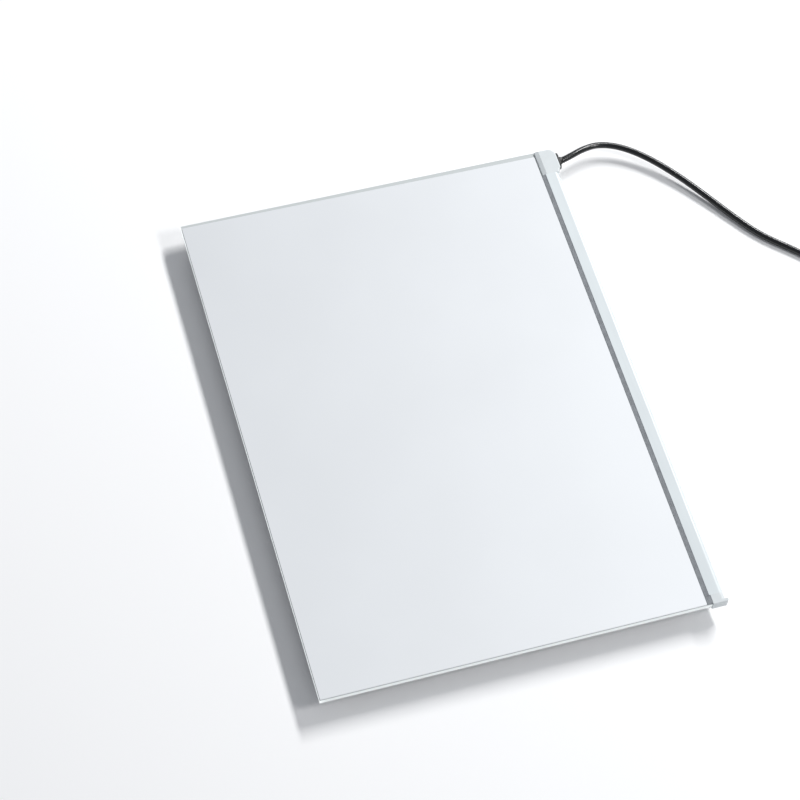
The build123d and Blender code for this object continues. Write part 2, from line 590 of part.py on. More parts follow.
with BuildPart() as switch_wires_cut:
    for end_y, (_, terminal_y) in zip((LEAD_END_Y, TAIL_END_Y), TERMINAL_PLACES):
        way = 1 if terminal_y > end_y else -1
        with BuildLine() as path:
            FilletPolyline(
                (SWITCH_X + 0.9, end_y, SWITCH_CORD_Z),
                (SWITCH_X + 0.9, end_y + 1.8 * way, SWITCH_CORD_Z),
                (TERMINAL_X - 0.4, terminal_y - 4.2 * way, SWITCH_CORD_Z),
                (TERMINAL_X - 0.4, terminal_y - 2.5 * way, SWITCH_CORD_Z),
                radius=[1.2, 1.2],
            )
        with BuildSketch(Plane(origin=path.line @ 0, z_dir=path.line % 0)):
            Circle(WIRE_R)
        sweep(path=path.wires()[0])
switch_wires_cut.part.label = "switch_wires_cut"
export_step(switch_wires_cut.part, "parts/switch_wires_cut.step")

# ---- the lead: tubes, coil, tie and plug --------------------------------------------


def bend_radii(route):
    """The largest radius each corner has room for: 0.45 of its shorter run over tan(turn / 2)."""
    points = [Vector(*point) for point in route]
    radii = []
    for before, corner, after in zip(points, points[1:], points[2:]):
        run_in, run_out = corner - before, after - corner
        half_turn = radians(run_in.get_angle(run_out) / 2)
        radii.append(0.45 * min(run_in.length, run_out.length) / tan(half_turn))
    return radii


for name, route in CORD_RUNS.items():
    radii = bend_radii(route)
    with BuildPart() as tube:
        with BuildLine() as path:
            FilletPolyline(*route, radius=radii)
        with BuildSketch(Plane(origin=path.line @ 0, z_dir=path.line % 0)):
            Circle(CORD_R)
        sweep(path=path.wires()[0])
    length = path.wires()[0].length
    print(name, "radii", [round(radius, 1) for radius in radii])
    print(name, "length", round(length, 1))
    print(name, "volume over section x length", round(tube.part.volume / (pi * CORD_R**2 * length), 4))
    tube.part.label = name
    export_step(tube.part, f"parts/{name}.step")

with BuildPart() as cord_coil:
    with BuildSketch(Plane(origin=(COIL_X, COIL_Y, 0), x_dir=(1, 0, 0), z_dir=(0, -1, 0))):
        with Locations((COIL_MIDDLE_R, COIL_LIFT + COIL_HEIGHT / 2)):
            RectangleRounded(COIL_WIDTH, COIL_HEIGHT, CORD_R)
    revolve(axis=Axis((COIL_X, COIL_Y, 0), (0, 0, 1)))
cord_coil.part.label = "cord_coil"
export_step(cord_coil.part, "parts/cord_coil.step")

# A flat tie round the turns, on the side away from the box's channel.
TIE_WIDTH, TIE_GAP, TIE_ANGLE = 7.0, 0.45, -55.0
TIE_T = COIL_LIFT
tie_plane = Plane(
    origin=(COIL_X, COIL_Y, 0),
    x_dir=(cos(radians(TIE_ANGLE)), sin(radians(TIE_ANGLE)), 0),
    z_dir=(sin(radians(TIE_ANGLE)), -cos(radians(TIE_ANGLE)), 0),
)
with BuildPart() as cord_tie:
    with BuildSketch(tie_plane.offset(-TIE_WIDTH / 2)):
        with Locations((COIL_MIDDLE_R, COIL_LIFT + COIL_HEIGHT / 2)):
            RectangleRounded(COIL_WIDTH + 2 * (TIE_GAP + TIE_T), COIL_HEIGHT + 2 * TIE_T, CORD_R)
            RectangleRounded(
                COIL_WIDTH + 2 * TIE_GAP, COIL_HEIGHT, CORD_R - TIE_T, mode=Mode.SUBTRACT
            )
    extrude(amount=TIE_WIDTH)
cord_tie.part.label = "cord_tie"
export_step(cord_tie.part, "parts/cord_tie.step")

# Barrel plug: a moulded grip, then a metal sleeve, an insulating tube and the inner contact.
GRIP_LENGTH, BARREL_LENGTH = 24.0, 9.5
BARREL_R, INSULATOR_R, CONTACT_R, PIN_HOLE_R = 2.75, 2.3, 1.4, 1.05
RELIEF_LENGTH, RELIEF_R = 9.5, 2.9  # the grip's thin rear part
GRIP_BEVEL = 1.0
BARREL_Y0 = PLUG_REAR_Y + GRIP_LENGTH
with BuildPart() as plug_grip:
    with BuildSketch(Plane((PLUG_X, PLUG_REAR_Y, PLUG_R))):
        with BuildLine():
            Polyline(
                (0, 0),
                (RELIEF_R, 0),
                (RELIEF_R + 0.4, RELIEF_LENGTH - 3.5),
                (PLUG_R, RELIEF_LENGTH),
                (PLUG_R, GRIP_LENGTH - GRIP_BEVEL),
                (PLUG_R - GRIP_BEVEL, GRIP_LENGTH),
                (0, GRIP_LENGTH),
                close=True,
            )
        make_face()
    revolve(axis=Axis((PLUG_X, PLUG_REAR_Y, PLUG_R), (0, 1, 0)))
plug_grip.part.label = "plug_grip"
export_step(plug_grip.part, "parts/plug_grip.step")

PLUG_TUBES = {
    "plug_sleeve": (BARREL_R, INSULATOR_R, BARREL_LENGTH),
    "plug_insulator": (INSULATOR_R - 0.02, CONTACT_R, BARREL_LENGTH - 0.3),
    "plug_contact": (CONTACT_R - 0.02, PIN_HOLE_R, BARREL_LENGTH - 1.0),
}
for name, (outer_r, inner_r, length) in PLUG_TUBES.items():
    with BuildPart() as tube:
        with BuildSketch(across(BARREL_Y0)):
            with Locations((PLUG_X, PLUG_R)):
                Circle(outer_r)
                Circle(inner_r, mode=Mode.SUBTRACT)
        extrude(amount=-length)
    tube.part.label = name
    export_step(tube.part, f"parts/{name}.step")
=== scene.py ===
"""The looks of an A4 edge-lit light box: cord, fine pieces, finishes, studio and camera.

Everything is in metres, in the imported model's frame: +X across the box towards its lamp channel,
+Y along its long side, +Z up, feet on Z = 0.
"""

import json
import math

import bpy
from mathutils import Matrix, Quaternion, Vector


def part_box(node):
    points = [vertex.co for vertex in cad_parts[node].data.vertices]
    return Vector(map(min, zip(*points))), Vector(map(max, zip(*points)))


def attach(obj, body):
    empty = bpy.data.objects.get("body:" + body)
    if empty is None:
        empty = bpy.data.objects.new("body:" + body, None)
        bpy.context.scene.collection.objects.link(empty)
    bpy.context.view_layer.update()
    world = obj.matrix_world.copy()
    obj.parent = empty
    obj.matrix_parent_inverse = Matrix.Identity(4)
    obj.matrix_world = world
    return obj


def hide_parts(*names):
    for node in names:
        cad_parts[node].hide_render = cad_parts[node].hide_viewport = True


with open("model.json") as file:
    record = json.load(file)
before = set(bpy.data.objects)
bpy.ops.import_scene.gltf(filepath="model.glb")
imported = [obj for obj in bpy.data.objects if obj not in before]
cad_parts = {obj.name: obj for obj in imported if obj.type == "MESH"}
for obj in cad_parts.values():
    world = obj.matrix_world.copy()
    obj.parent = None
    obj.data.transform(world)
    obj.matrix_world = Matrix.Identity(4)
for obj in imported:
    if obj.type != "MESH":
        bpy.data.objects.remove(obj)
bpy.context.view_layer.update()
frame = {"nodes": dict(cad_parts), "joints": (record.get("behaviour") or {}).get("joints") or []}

# ---- camera -------------------------------------------------------------------------
CAMERA_PLACE = Vector((-0.2702, -0.6567, 1.1985))
CAMERA_AIM = Vector((-0.0204, 0.0175, 0.0))
CAMERA_ROLL = 4.94  # degrees
CAMERA_LENS = 110.8  # millimetres, on a 36 mm sensor


def link(name, data):
    """A new object in the scene."""
    made = bpy.data.objects.new(name, data)
    bpy.context.scene.collection.objects.link(made)
    return made


def aim(thing, place, target, roll=0.0):
    """Puts a camera or light at a place, facing the target, rolled about its view axis."""
    thing.rotation_mode = "QUATERNION"
    thing.location = place
    looking = (target - place).to_track_quat("-Z", "Y")
    thing.rotation_quaternion = looking @ Quaternion((0, 0, 1), math.radians(roll))


def add_camera():
    camera = link("camera", bpy.data.cameras.new("camera"))
    camera.data.lens = CAMERA_LENS
    aim(camera, CAMERA_PLACE, CAMERA_AIM, CAMERA_ROLL)
    bpy.context.scene.camera = camera


add_camera()

# ---- finishes: how a material is put together -----------------------------------------


def new_material(slot):
    """An empty material for a slot, with its node tree and its shader."""
    material = bpy.data.materials.new(slot + "_finish")
    material.use_nodes = True
    tree = material.node_tree
    return material, tree, tree.nodes["Principled BSDF"]


def place_in_frame(tree):
    """The shaded point's place in the model's frame."""
    return tree.nodes.new("ShaderNodeTexCoord").outputs["Object"]


def texture(tree, kind, size, stretch=(1, 1, 1)):
    """The output of a noise or cell texture with features of this size."""
    mapping = tree.nodes.new("ShaderNodeMapping")
    mapping.inputs["Scale"].default_value = stretch
    tree.links.new(place_in_frame(tree), mapping.inputs["Vector"])
    node = tree.nodes.new(kind)
    node.inputs["Scale"].default_value = 1 / size
    tree.links.new(mapping.outputs["Vector"], node.inputs["Vector"])
    return node.outputs[0]


def ramp(tree, factor, stops):
    """Colours by a factor: stops are (position, colour) pairs."""
    node = tree.nodes.new("ShaderNodeValToRGB")
    elements = node.color_ramp.elements
    while len(elements) < len(stops):
        elements.new(0.5)
    for element, (position, colour) in zip(elements, stops):
        element.position = position
        element.color = (*colour, 1.0)
    tree.links.new(factor, node.inputs["Fac"])
    return node.outputs["Color"]


def remap(tree, factor, span, result=(0, 1)):
    """A factor that runs over result while the given one runs over span."""
    node = tree.nodes.new("ShaderNodeMapRange")
    for socket, limit in zip(("From Min", "From Max", "To Min", "To Max"), (*span, *result)):
        node.inputs[socket].default_value = limit
    tree.links.new(factor, node.inputs["Value"])
    return node.outputs["Result"]


def raise_relief(tree, height, distance, under=None):
    """A bump of this height in metres, on top of another bump's normal if one is given."""
    bump = tree.nodes.new("ShaderNodeBump")
    bump.inputs["Distance"].default_value = distance
    tree.links.new(height, bump.inputs["Height"])
    if under is not None:
        tree.links.new(under, bump.inputs["Normal"])
    return bump.outputs["Normal"]


NOISE_SPAN = (0.3, 0.7)  # where nearly all of a noise texture's values lie


def finish(
    slot,
    tones,
    roughness,
    patch,
    grain,
    relief,
    stretch=(1, 1, 1),
    kind="ShaderNodeTexNoise",
    waviness=0.0,
    **sockets,
):
    """A material whose tone drifts over patches and whose roughness varies with a fine relief.

    patch and grain are sizes of features and relief is a height, all in metres. waviness is the
    height of a gentle unevenness as wide as a patch. stretch and kind shape the fine texture.
    Other sockets are set by name, with _ for a space.
    """
    material, tree, shader = new_material(slot)
    drift = texture(tree, "ShaderNodeTexNoise", patch)
    tree.links.new(ramp(tree, drift, list(zip(NOISE_SPAN, tones))), shader.inputs["Base Color"])
    fine = texture(tree, kind, grain, stretch)
    tree.links.new(remap(tree, fine, NOISE_SPAN, roughness), shader.inputs["Roughness"])
    normal = raise_relief(tree, drift, waviness) if waviness else None
    tree.links.new(raise_relief(tree, fine, relief, normal), shader.inputs["Normal"])
    for name, value in sockets.items():
        shader.inputs[name.replace("_", " ")].default_value = value
    return material


def grey(value, cool=0.0):
    """A grey whose red falls and blue rises by the same share."""
    return (value * (1 - cool), value, value * (1 + cool))


# ---- finishes: one for each slot -------------------------------------------------------
CELLS = "ShaderNodeTexVoronoi"
ALONG_Y = (1, 0.012, 1)  # draws a texture out into lines along Y
ROUND_Y = (0.05, 1, 0.05)  # and into rings round Y

LOOKS = {
    "diffuser_opal": dict(
        tones=(grey(0.61, 0.03), grey(0.63, 0.03)), roughness=(0.34, 0.46),
        patch=0.06, grain=0.0004, relief=0.000006,
    ),
    "film_white": dict(
        tones=(grey(0.76), grey(0.82)), roughness=(0.25, 0.4),
        patch=0.02, grain=0.0008, relief=0.000004,
        # painted light: the film glows a little, though no lamp is lit
        Emission_Color=(0.95, 1.0, 0.99, 1.0), Emission_Strength=0.25,
    ),
    "sheet_white": dict(
        tones=(grey(0.66, 0.01), grey(0.72, 0.01)), roughness=(0.3, 0.5),
        patch=0.03, grain=0.0012, relief=0.00002, waviness=0.0001,
    ),
    "tape_clear": dict(
        tones=(grey(0.55), grey(0.66)), roughness=(0.2, 0.4),
        patch=0.008, grain=0.001, relief=0.00001,
    ),
    # the seal's grey is toned so the strip beside the channel comes out dark: partly its own grey, partly
    # painted shade of the channel
    "foam_grey": dict(
        tones=(grey(0.34, 0.05), grey(0.42, 0.05)), roughness=(0.8, 0.95),
        patch=0.004, grain=0.0006, relief=0.00012, kind=CELLS,
    ),
    "channel_white": dict(
        tones=((0.62, 0.665, 0.68), (0.65, 0.7, 0.715)), roughness=(0.3, 0.42),
        patch=0.03, grain=0.0004, relief=0.000012, stretch=ALONG_Y,
    ),
    "cap_white": dict(
        tones=((0.59, 0.625, 0.635), (0.63, 0.665, 0.675)), roughness=(0.42, 0.55),
        patch=0.008, grain=0.00035, relief=0.00002,
    ),
    "thermal_grey": dict(
        tones=(grey(0.2), grey(0.28)), roughness=(0.6, 0.8),
        patch=0.01, grain=0.0006, relief=0.00002,
    ),
    "board_white": dict(
        tones=(grey(0.7), grey(0.78)), roughness=(0.25, 0.4),
        patch=0.006, grain=0.0006, relief=0.00001,
    ),
    "led_yellow": dict(
        tones=((0.72, 0.52, 0.06), (0.82, 0.66, 0.14)), roughness=(0.3, 0.45),
        patch=0.0015, grain=0.0003, relief=0.00001,
    ),
    "resistor_black": dict(
        tones=(grey(0.02), grey(0.05)), roughness=(0.3, 0.5),
        patch=0.001, grain=0.0002, relief=0.00001,
    ),
    "wire_red": dict(
        tones=((0.4, 0.012, 0.01), (0.5, 0.02, 0.015)), roughness=(0.3, 0.45),
        patch=0.004, grain=0.0004, relief=0.00001,
    ),
    "wire_black": dict(
        tones=(grey(0.012), grey(0.02)), roughness=(0.3, 0.45),
        patch=0.004, grain=0.0004, relief=0.00001,
    ),
    "gland_black": dict(
        tones=(grey(0.012), grey(0.022)), roughness=(0.38, 0.55),
        patch=0.003, grain=0.0003, relief=0.000015,
    ),
    "foot_rubber": dict(
        tones=(grey(0.018), grey(0.035)), roughness=(0.6, 0.8),
        patch=0.004, grain=0.0005, relief=0.00003,
    ),
    "switch_black": dict(
        tones=(grey(0.014), grey(0.022)), roughness=(0.4, 0.56),
        patch=0.006, grain=0.00035, relief=0.00003,
    ),
    "rocker_black": dict(
        tones=(grey(0.01), grey(0.016)), roughness=(0.34, 0.46),
        patch=0.005, grain=0.0004, relief=0.000006,
    ),
    "screw_steel": dict(
        tones=(grey(0.42), grey(0.58)), roughness=(0.25, 0.42),
        patch=0.001, grain=0.00015, relief=0.00001, Metallic=1.0,
    ),
    "brass": dict(
        tones=((0.66, 0.45, 0.17), (0.78, 0.57, 0.26)), roughness=(0.22, 0.4),
        patch=0.002, grain=0.0002, relief=0.00001, Metallic=1.0,
    ),
    "cord_black": dict(
        tones=(grey(0.004, 0.15), grey(0.008, 0.15)), roughness=(0.16, 0.26),
        patch=0.012, grain=0.0006, relief=0.000006, waviness=0.00004,
    ),
    "tie_black": dict(
        tones=(grey(0.012), grey(0.035)), roughness=(0.75, 0.95),
        patch=0.0012, grain=0.00035, relief=0.00012, kind=CELLS, Sheen_Weight=0.3,
    ),
    "plug_black": dict(
        tones=(grey(0.011), grey(0.018)), roughness=(0.34, 0.5),
        patch=0.003, grain=0.0003, relief=0.00002,
    ),
    "plug_metal": dict(
        tones=(grey(0.62), grey(0.74)), roughness=(0.14, 0.3),
        patch=0.002, grain=0.00015, relief=0.000004, stretch=ROUND_Y, Metallic=1.0,
    ),
    "plug_inner": dict(
        tones=(grey(0.02), grey(0.03)), roughness=(0.4, 0.5),
        patch=0.001, grain=0.0002, relief=0.00001,
    ),
}
FINISHES = {slot: finish(slot, **look) for slot, look in LOOKS.items()}

# Clear acrylic against white: its faces are greyer and its edges paler, and its edges glow with painted
# light, though no lamp is lit.
ACRYLIC_FACE, ACRYLIC_EDGE_TONE_AND_PAINTED_GLOW = (0.54, 0.57, 0.57), (0.74, 0.775, 0.77)
PAINTED_UNDER_GLOW, PAINTED_TOP_GLOW = grey(0.1), grey(0.02)
ACRYLIC_IOR = 1.49
PAINTED_GLOW_RIM = 0.003  # width of the rim across from the lamps, which gets the strongest painted glow
PAINTED_RIM_GLOW, PAINTED_INNER_GLOW = 0.8, 0.4
SAW_MARK, SAW_MARK_DEPTH = 0.0005, 0.000008
UP_THE_EDGE = (1, 1, 0.05)  # draws a texture out along Z


def acrylic_finish():
    """The light guide's material, from its bottom face through its edges to its top face, its edges
    glowing with painted light.
    """
    low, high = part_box("light_guide")
    material, tree, shader = new_material("acrylic_clear")
    axes = tree.nodes.new("ShaderNodeSeparateXYZ")
    tree.links.new(place_in_frame(tree), axes.inputs["Vector"])
    height = remap(tree, axes.outputs["Z"], (low.z, high.z))
    tones = [(0.0, ACRYLIC_FACE), (0.15, ACRYLIC_EDGE_TONE_AND_PAINTED_GLOW), (0.9, ACRYLIC_EDGE_TONE_AND_PAINTED_GLOW), (0.99, ACRYLIC_FACE)]
    tree.links.new(ramp(tree, height, tones), shader.inputs["Base Color"])
    painted_glows = [(0.0, PAINTED_UNDER_GLOW), (0.1, ACRYLIC_EDGE_TONE_AND_PAINTED_GLOW), (0.92, ACRYLIC_EDGE_TONE_AND_PAINTED_GLOW), (0.99, PAINTED_TOP_GLOW)]
    tree.links.new(ramp(tree, height, painted_glows), shader.inputs["Emission Color"])
    painted_glow_strength = remap(tree, axes.outputs["X"], (low.x, low.x + PAINTED_GLOW_RIM), (PAINTED_RIM_GLOW, PAINTED_INNER_GLOW))
    tree.links.new(painted_glow_strength, shader.inputs["Emission Strength"])
    saw_marks = texture(tree, "ShaderNodeTexNoise", SAW_MARK, UP_THE_EDGE)
    tree.links.new(remap(tree, saw_marks, NOISE_SPAN, (0.1, 0.25)), shader.inputs["Roughness"])
    tree.links.new(raise_relief(tree, saw_marks, SAW_MARK_DEPTH), shader.inputs["Normal"])
    shader.inputs["IOR"].default_value = ACRYLIC_IOR
    return material


FINISHES["acrylic_clear"] = acrylic_finish()

# Painted light: the diffuser glows a little more towards the lamps' side and the near end, though no lamp
# is lit.
PAINTED_GLOW_GROWS_TOWARDS = Vector((0.75, -0.66, 0))
FAINTEST_PAINTED_GLOW, STRONGEST_PAINTED_GLOW = grey(0.09, 0.02), grey(0.22, 0.02)


def add_painted_glow():
    """Painted light on the diffuser: a faint glow, though no lamp is lit, strongest on the lamps' side
    and towards the near end.
    """
    low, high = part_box("diffuser")
    faintest, strongest = Vector((low.x, high.y, 0)), Vector((high.x, low.y, 0))
    tree = FINISHES["diffuser_opal"].node_tree
    shader = tree.nodes["Principled BSDF"]
    along = tree.nodes.new("ShaderNodeVectorMath")
    along.operation = "DOT_PRODUCT"
    along.inputs[1].default_value = PAINTED_GLOW_GROWS_TOWARDS
    tree.links.new(place_in_frame(tree), along.inputs[0])
    span = (faintest.dot(PAINTED_GLOW_GROWS_TOWARDS), strongest.dot(PAINTED_GLOW_GROWS_TOWARDS))
    share = remap(tree, along.outputs["Value"], span)
    painted_glow = ramp(tree, share, [(0.0, FAINTEST_PAINTED_GLOW), (1.0, STRONGEST_PAINTED_GLOW)])
    tree.links.new(painted_glow, shader.inputs["Emission Color"])
    shader.inputs["Emission Strength"].default_value = 1.0


def finish_nodes():
    """Puts each slot's finish on the CAD nodes in place of the plain one they come with."""
    for node in frame["nodes"].values():
        slot = node.data.materials[0].name
        node.data.materials[0] = FINISHES[slot]


add_painted_glow()
finish_nodes()

# ---- the cord -----------------------------------------------------------------------
CORD_DIAMETER = 0.0038
LEAD_RUN = [  # from the gland down to the floor, and on to the switch
    (0.1174, 0.14735, 0.0113),
    (0.124, 0.1494, 0.011),
    (0.132, 0.1529, 0.0101),
    (0.1435, 0.1554, 0.0085),
    (0.157, 0.1513, 0.0069),
    (0.171, 0.1403, 0.0055),
    (0.185, 0.1236, 0.0042),
    (0.197, 0.1056, 0.003),
    (0.2085, 0.0872, 0.0022),
    (0.219, 0.0718, 0.00195),
    (0.236, 0.056, 0.00195),
    (0.2495, 0.0415, 0.002),
    (0.2585, 0.028, 0.0032),
    (0.262, 0.014, 0.0046),
    (0.262, -0.002, 0.0046),
]
TAIL_RUN = [  # from the switch to the coil
    (0.262, -0.042, 0.0046),
    (0.262, -0.058, 0.0046),
    (0.2623, -0.069, 0.0031),
    (0.262, -0.08, 0.0025),
]
TIP_RUN = [  # from the coil up to the back of the plug
    (0.2136, -0.0639, 0.00635),
    (0.2224, -0.0551, 0.0063),
    (0.2328, -0.0447, 0.0052),
    (0.236, -0.037, 0.0048),
    (0.236, -0.027, 0.0048),
]

COIL_LOW, COIL_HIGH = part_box("cord_coil")
COIL_MIDDLE = (COIL_LOW + COIL_HIGH) / 2
TURNS_WIDE = 4
TURN_PITCH = CORD_DIAMETER + 0.00005
OUTER_TURN_R = 0.028375
TURN_RADII = [OUTER_TURN_R - i * TURN_PITCH for i in range(TURNS_WIDE)]
LOW_TURN = 0.0025
HIGH_TURN = LOW_TURN + TURN_PITCH
TURN_PLACES = [(r, LOW_TURN) for r in TURN_RADII] + [(r, HIGH_TURN) for r in TURN_RADII[::-1]]
POINTS_PER_TURN = 16
COIL_TURNS = 7.625  # leaves at the tip's first point
STEP_OVER = 0.8  # share of a turn after which it moves to the next place
TUCK = 0.35  # share of a pitch by which the climbing turn passes inside the turns beside it


def coil_points():
    """The coil's control points, clockwise from the tail: inwards on the floor, outwards on top.

    Opposite a control point, the line of a quadratic spline is at (before + 6 * point + after) / 8,
    so the points of a circle stand a little wide.
    """
    wide = 8 / (6 + 2 * math.cos(2 * math.pi / POINTS_PER_TURN))
    points = []
    for i in range(int(COIL_TURNS * POINTS_PER_TURN)):
        progress = (i + 0.5) / POINTS_PER_TURN
        turn = int(progress)
        radius, height = TURN_PLACES[turn]
        step = (progress - turn - STEP_OVER) / (1 - STEP_OVER)
        if step > 0 and turn + 1 < len(TURN_PLACES):
            next_radius, next_height = TURN_PLACES[turn + 1]
            climbs = next_height > height
            radius += (next_radius - radius) * step
            height += (next_height - height) * step
            if climbs:
                radius -= TUCK * TURN_PITCH * math.sin(math.pi * step)
        angle = -2 * math.pi * progress
        x = COIL_MIDDLE.x + wide * radius * math.cos(angle)
        y = COIL_MIDDLE.y + wide * radius * math.sin(angle)
        points.append((x, y, height))
    return points


def add_cord():
    """The whole lead as one spline, from the gland to the back of the plug."""
    curve = bpy.data.curves.new("cord", "CURVE")
    curve.dimensions = "3D"
    curve.bevel_depth = CORD_DIAMETER / 2
    curve.bevel_resolution = 6
    curve.resolution_u = 10
    curve.use_fill_caps = True
    route = LEAD_RUN + TAIL_RUN + coil_points() + TIP_RUN
    spline = curve.splines.new("NURBS")
    spline.points.add(len(route) - 1)
    for point, place in zip(spline.points, route):
        point.co = (*place, 1.0)
    spline.order_u = 3
    spline.use_endpoint_u = True
    curve.materials.append(FINISHES["cord_black"])
    cord = link("cord", curve)
    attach(cord, "panel")
    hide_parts("cord_lead", "cord_tail", "cord_coil", "cord_tip")
    return cord


cord = add_cord()

# ---- fine pieces in place of plain CAD ones -------------------------------------------
SHARP_ANGLE = math.radians(35)


def add_piece(name, vertices, faces, slot, body):
    """A mesh piece with the slot's finish, smooth but for its sharp edges, riding on a body."""
    mesh = bpy.data.meshes.new(name)
    mesh.from_pydata(vertices, [], faces)
    mesh.polygons.foreach_set("use_smooth", [True] * len(mesh.polygons))
    mesh.set_sharp_from_angle(angle=SHARP_ANGLE)
    mesh.materials.append(FINISHES[slot])
    piece = link(name, mesh)
    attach(piece, body)
    return piece


def tube_faces(rings, around):
    """Quads between rings of points, and a face over each end."""
    faces = []
    for ring in range(rings - 1):
        for i in range(around):
            j = (i + 1) % around
            near, far = ring * around, (ring + 1) * around
            faces.append((near + i, near + j, far + j, far + i))
    faces.append(tuple(range(around))[::-1])
    faces.append(tuple((rings - 1) * around + i for i in range(around)))
    return faces


PLUG_X, PLUG_REAR, PLUG_Z = TIP_RUN[-1]
PLUG_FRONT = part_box("plug_grip")[1].y
PLUG_SIDES = 48
RELIEF_R = 0.0029  # at the first rib
RELIEF_BEVEL = 0.0003
RELIEF_LENGTH = 0.0095
RIBS, RIB_PITCH = 5, 0.0018
RIB_GROWTH = 0.00012  # of the radius, from one rib to the next
RIB_SWELL = 0.00005  # and along each rib
GROOVE_RUN, GROOVE_DEPTH = 0.0007, 0.0005
GROOVE_SLOPE = 0.0001  # half the run of a groove's wall
GRIP_R, SHOULDER_R = 0.0048, 0.0044
SHOULDER_RUN = 0.0006
FIRST_RING = 0.0118  # distance from the rear
RINGS, RING_PITCH = 6, 0.0016
RING_R, RING_WALL, RING_FLOOR = 0.0045, 0.0002, 0.0005
BEVEL_RUN, BEVEL_EDGE = 0.0006, 0.0002  # distances from the front
BEVEL_R, FRONT_R, BORE_R = 0.00455, 0.0042, 0.0024


def relief_profile():
    """(y, radius) pairs of the strain relief: ribs that grow towards the grip."""
    start = PLUG_REAR + RELIEF_BEVEL
    profile = [(PLUG_REAR, CORD_DIAMETER / 2), (PLUG_REAR, RELIEF_R - RELIEF_BEVEL), (start, RELIEF_R)]
    for i in range(RIBS):
        radius = RELIEF_R + i * RIB_GROWTH
        groove_end = start + (i + 1) * RIB_PITCH
        groove_start = groove_end - GROOVE_RUN
        profile += [
            (groove_start - GROOVE_SLOPE, radius + RIB_SWELL),
            (groove_start + GROOVE_SLOPE, radius - GROOVE_DEPTH),
            (groove_end - GROOVE_SLOPE, radius - GROOVE_DEPTH),
            (groove_end + GROOVE_SLOPE, radius + RIB_GROWTH),
        ]
    return profile


def grip_profile():
    """(y, radius) pairs of the grip: shoulder, sunk rings and a bevelled front round the bore."""
    rear = PLUG_REAR + RELIEF_LENGTH
    profile = [(rear, SHOULDER_R), (rear + SHOULDER_RUN, GRIP_R)]
    for i in range(RINGS):
        y = PLUG_REAR + FIRST_RING + i * RING_PITCH
        profile += [
            (y, GRIP_R),
            (y + RING_WALL, RING_R),
            (y + RING_WALL + RING_FLOOR, RING_R),
            (y + 2 * RING_WALL + RING_FLOOR, GRIP_R),
        ]
    profile += [(PLUG_FRONT - BEVEL_RUN, GRIP_R), (PLUG_FRONT - BEVEL_EDGE, BEVEL_R)]
    profile += [(PLUG_FRONT, FRONT_R), (PLUG_FRONT, BORE_R)]
    return profile


def add_plug_moulding():
    """The plug's grip and strain relief, turned from their profile round the plug's axis."""
    profile = relief_profile() + grip_profile()
    vertices = []
    for y, radius in profile:
        for i in range(PLUG_SIDES):
            angle = 2 * math.pi * i / PLUG_SIDES
            x, z = PLUG_X + radius * math.cos(angle), PLUG_Z + radius * math.sin(angle)
            vertices.append((x, y, z))
    faces = tube_faces(len(profile), PLUG_SIDES)
    moulding = add_piece("plug_moulding", vertices, faces, "plug_black", "panel")
    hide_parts("plug_grip")
    return moulding


TIE_ANGLE = math.radians(-55)
TIE_WIDTH, TIE_THICKNESS, TIE_BEVEL = 0.007, 0.00055, 0.00012
TIE_CORNER = 0.0014
TIE_STEP = 0.0005  # between points along its straight stretches
CORNER_STEPS = 6
LAP_CLIMB = 8  # points over which the strap climbs onto its own start
LAP_LIFT = 1.02  # thicknesses, so that the lap lies just clear of what is under it
BUNDLE_R = 0.0226  # at the middle of the turns
BUNDLE_WIDTH = 0.01625  # of the turns, with room for their curve under the strap
BUNDLE_HEIGHT = COIL_HIGH.z - COIL_LOW.z


def bundle_outline():
    """(radial, height, radial normal, vertical normal) round the turns, from the outer side up."""
    half_w, half_h = BUNDLE_WIDTH / 2 - TIE_CORNER, BUNDLE_HEIGHT / 2 - TIE_CORNER
    corners = [(half_w, half_h), (-half_w, half_h), (-half_w, -half_h), (half_w, -half_h)]
    outline = []
    for k, (u, v) in enumerate(corners):
        for i in range(CORNER_STEPS + 1):
            angle = (k + i / CORNER_STEPS) * math.pi / 2
            nu, nv = math.cos(angle), math.sin(angle)
            outline.append((u + TIE_CORNER * nu, v + TIE_CORNER * nv, nu, nv))
        corner_end = outline[-1]
        next_u, next_v = corners[(k + 1) % len(corners)]
        run = math.hypot(next_u - u, next_v - v)
        for i in range(1, int(run / TIE_STEP)):
            share = i * TIE_STEP / run
            along_u, along_v = (next_u - u) * share, (next_v - v) * share
            outline.append((corner_end[0] + along_u, corner_end[1] + along_v, *corner_end[2:]))
    return outline


def strap_path():
    """The strap's middle line once round the turns, and on over its own start."""
    outline = bundle_outline()
    lap = len(outline) // 3
    path = []
    for i in range(len(outline) + lap):
        u, v, nu, nv = outline[i % len(outline)]
        climbed = min(max((i - len(outline) + LAP_CLIMB) / LAP_CLIMB, 0.0), 1.0)
        lifted = TIE_THICKNESS * (0.5 + LAP_LIFT * climbed)
        path.append((u + nu * lifted, v + nv * lifted, nu, nv))
    return path


def bevelled_section(half_w, half_t, bevel):
    """The corners of a strap's section, (across, thickness), with its edges bevelled."""
    return [
        (half_w - bevel, half_t), (half_w, half_t - bevel),
        (half_w, bevel - half_t), (half_w - bevel, -half_t),
        (bevel - half_w, -half_t), (-half_w, bevel - half_t),
        (-half_w, half_t - bevel), (bevel - half_w, half_t),
    ]


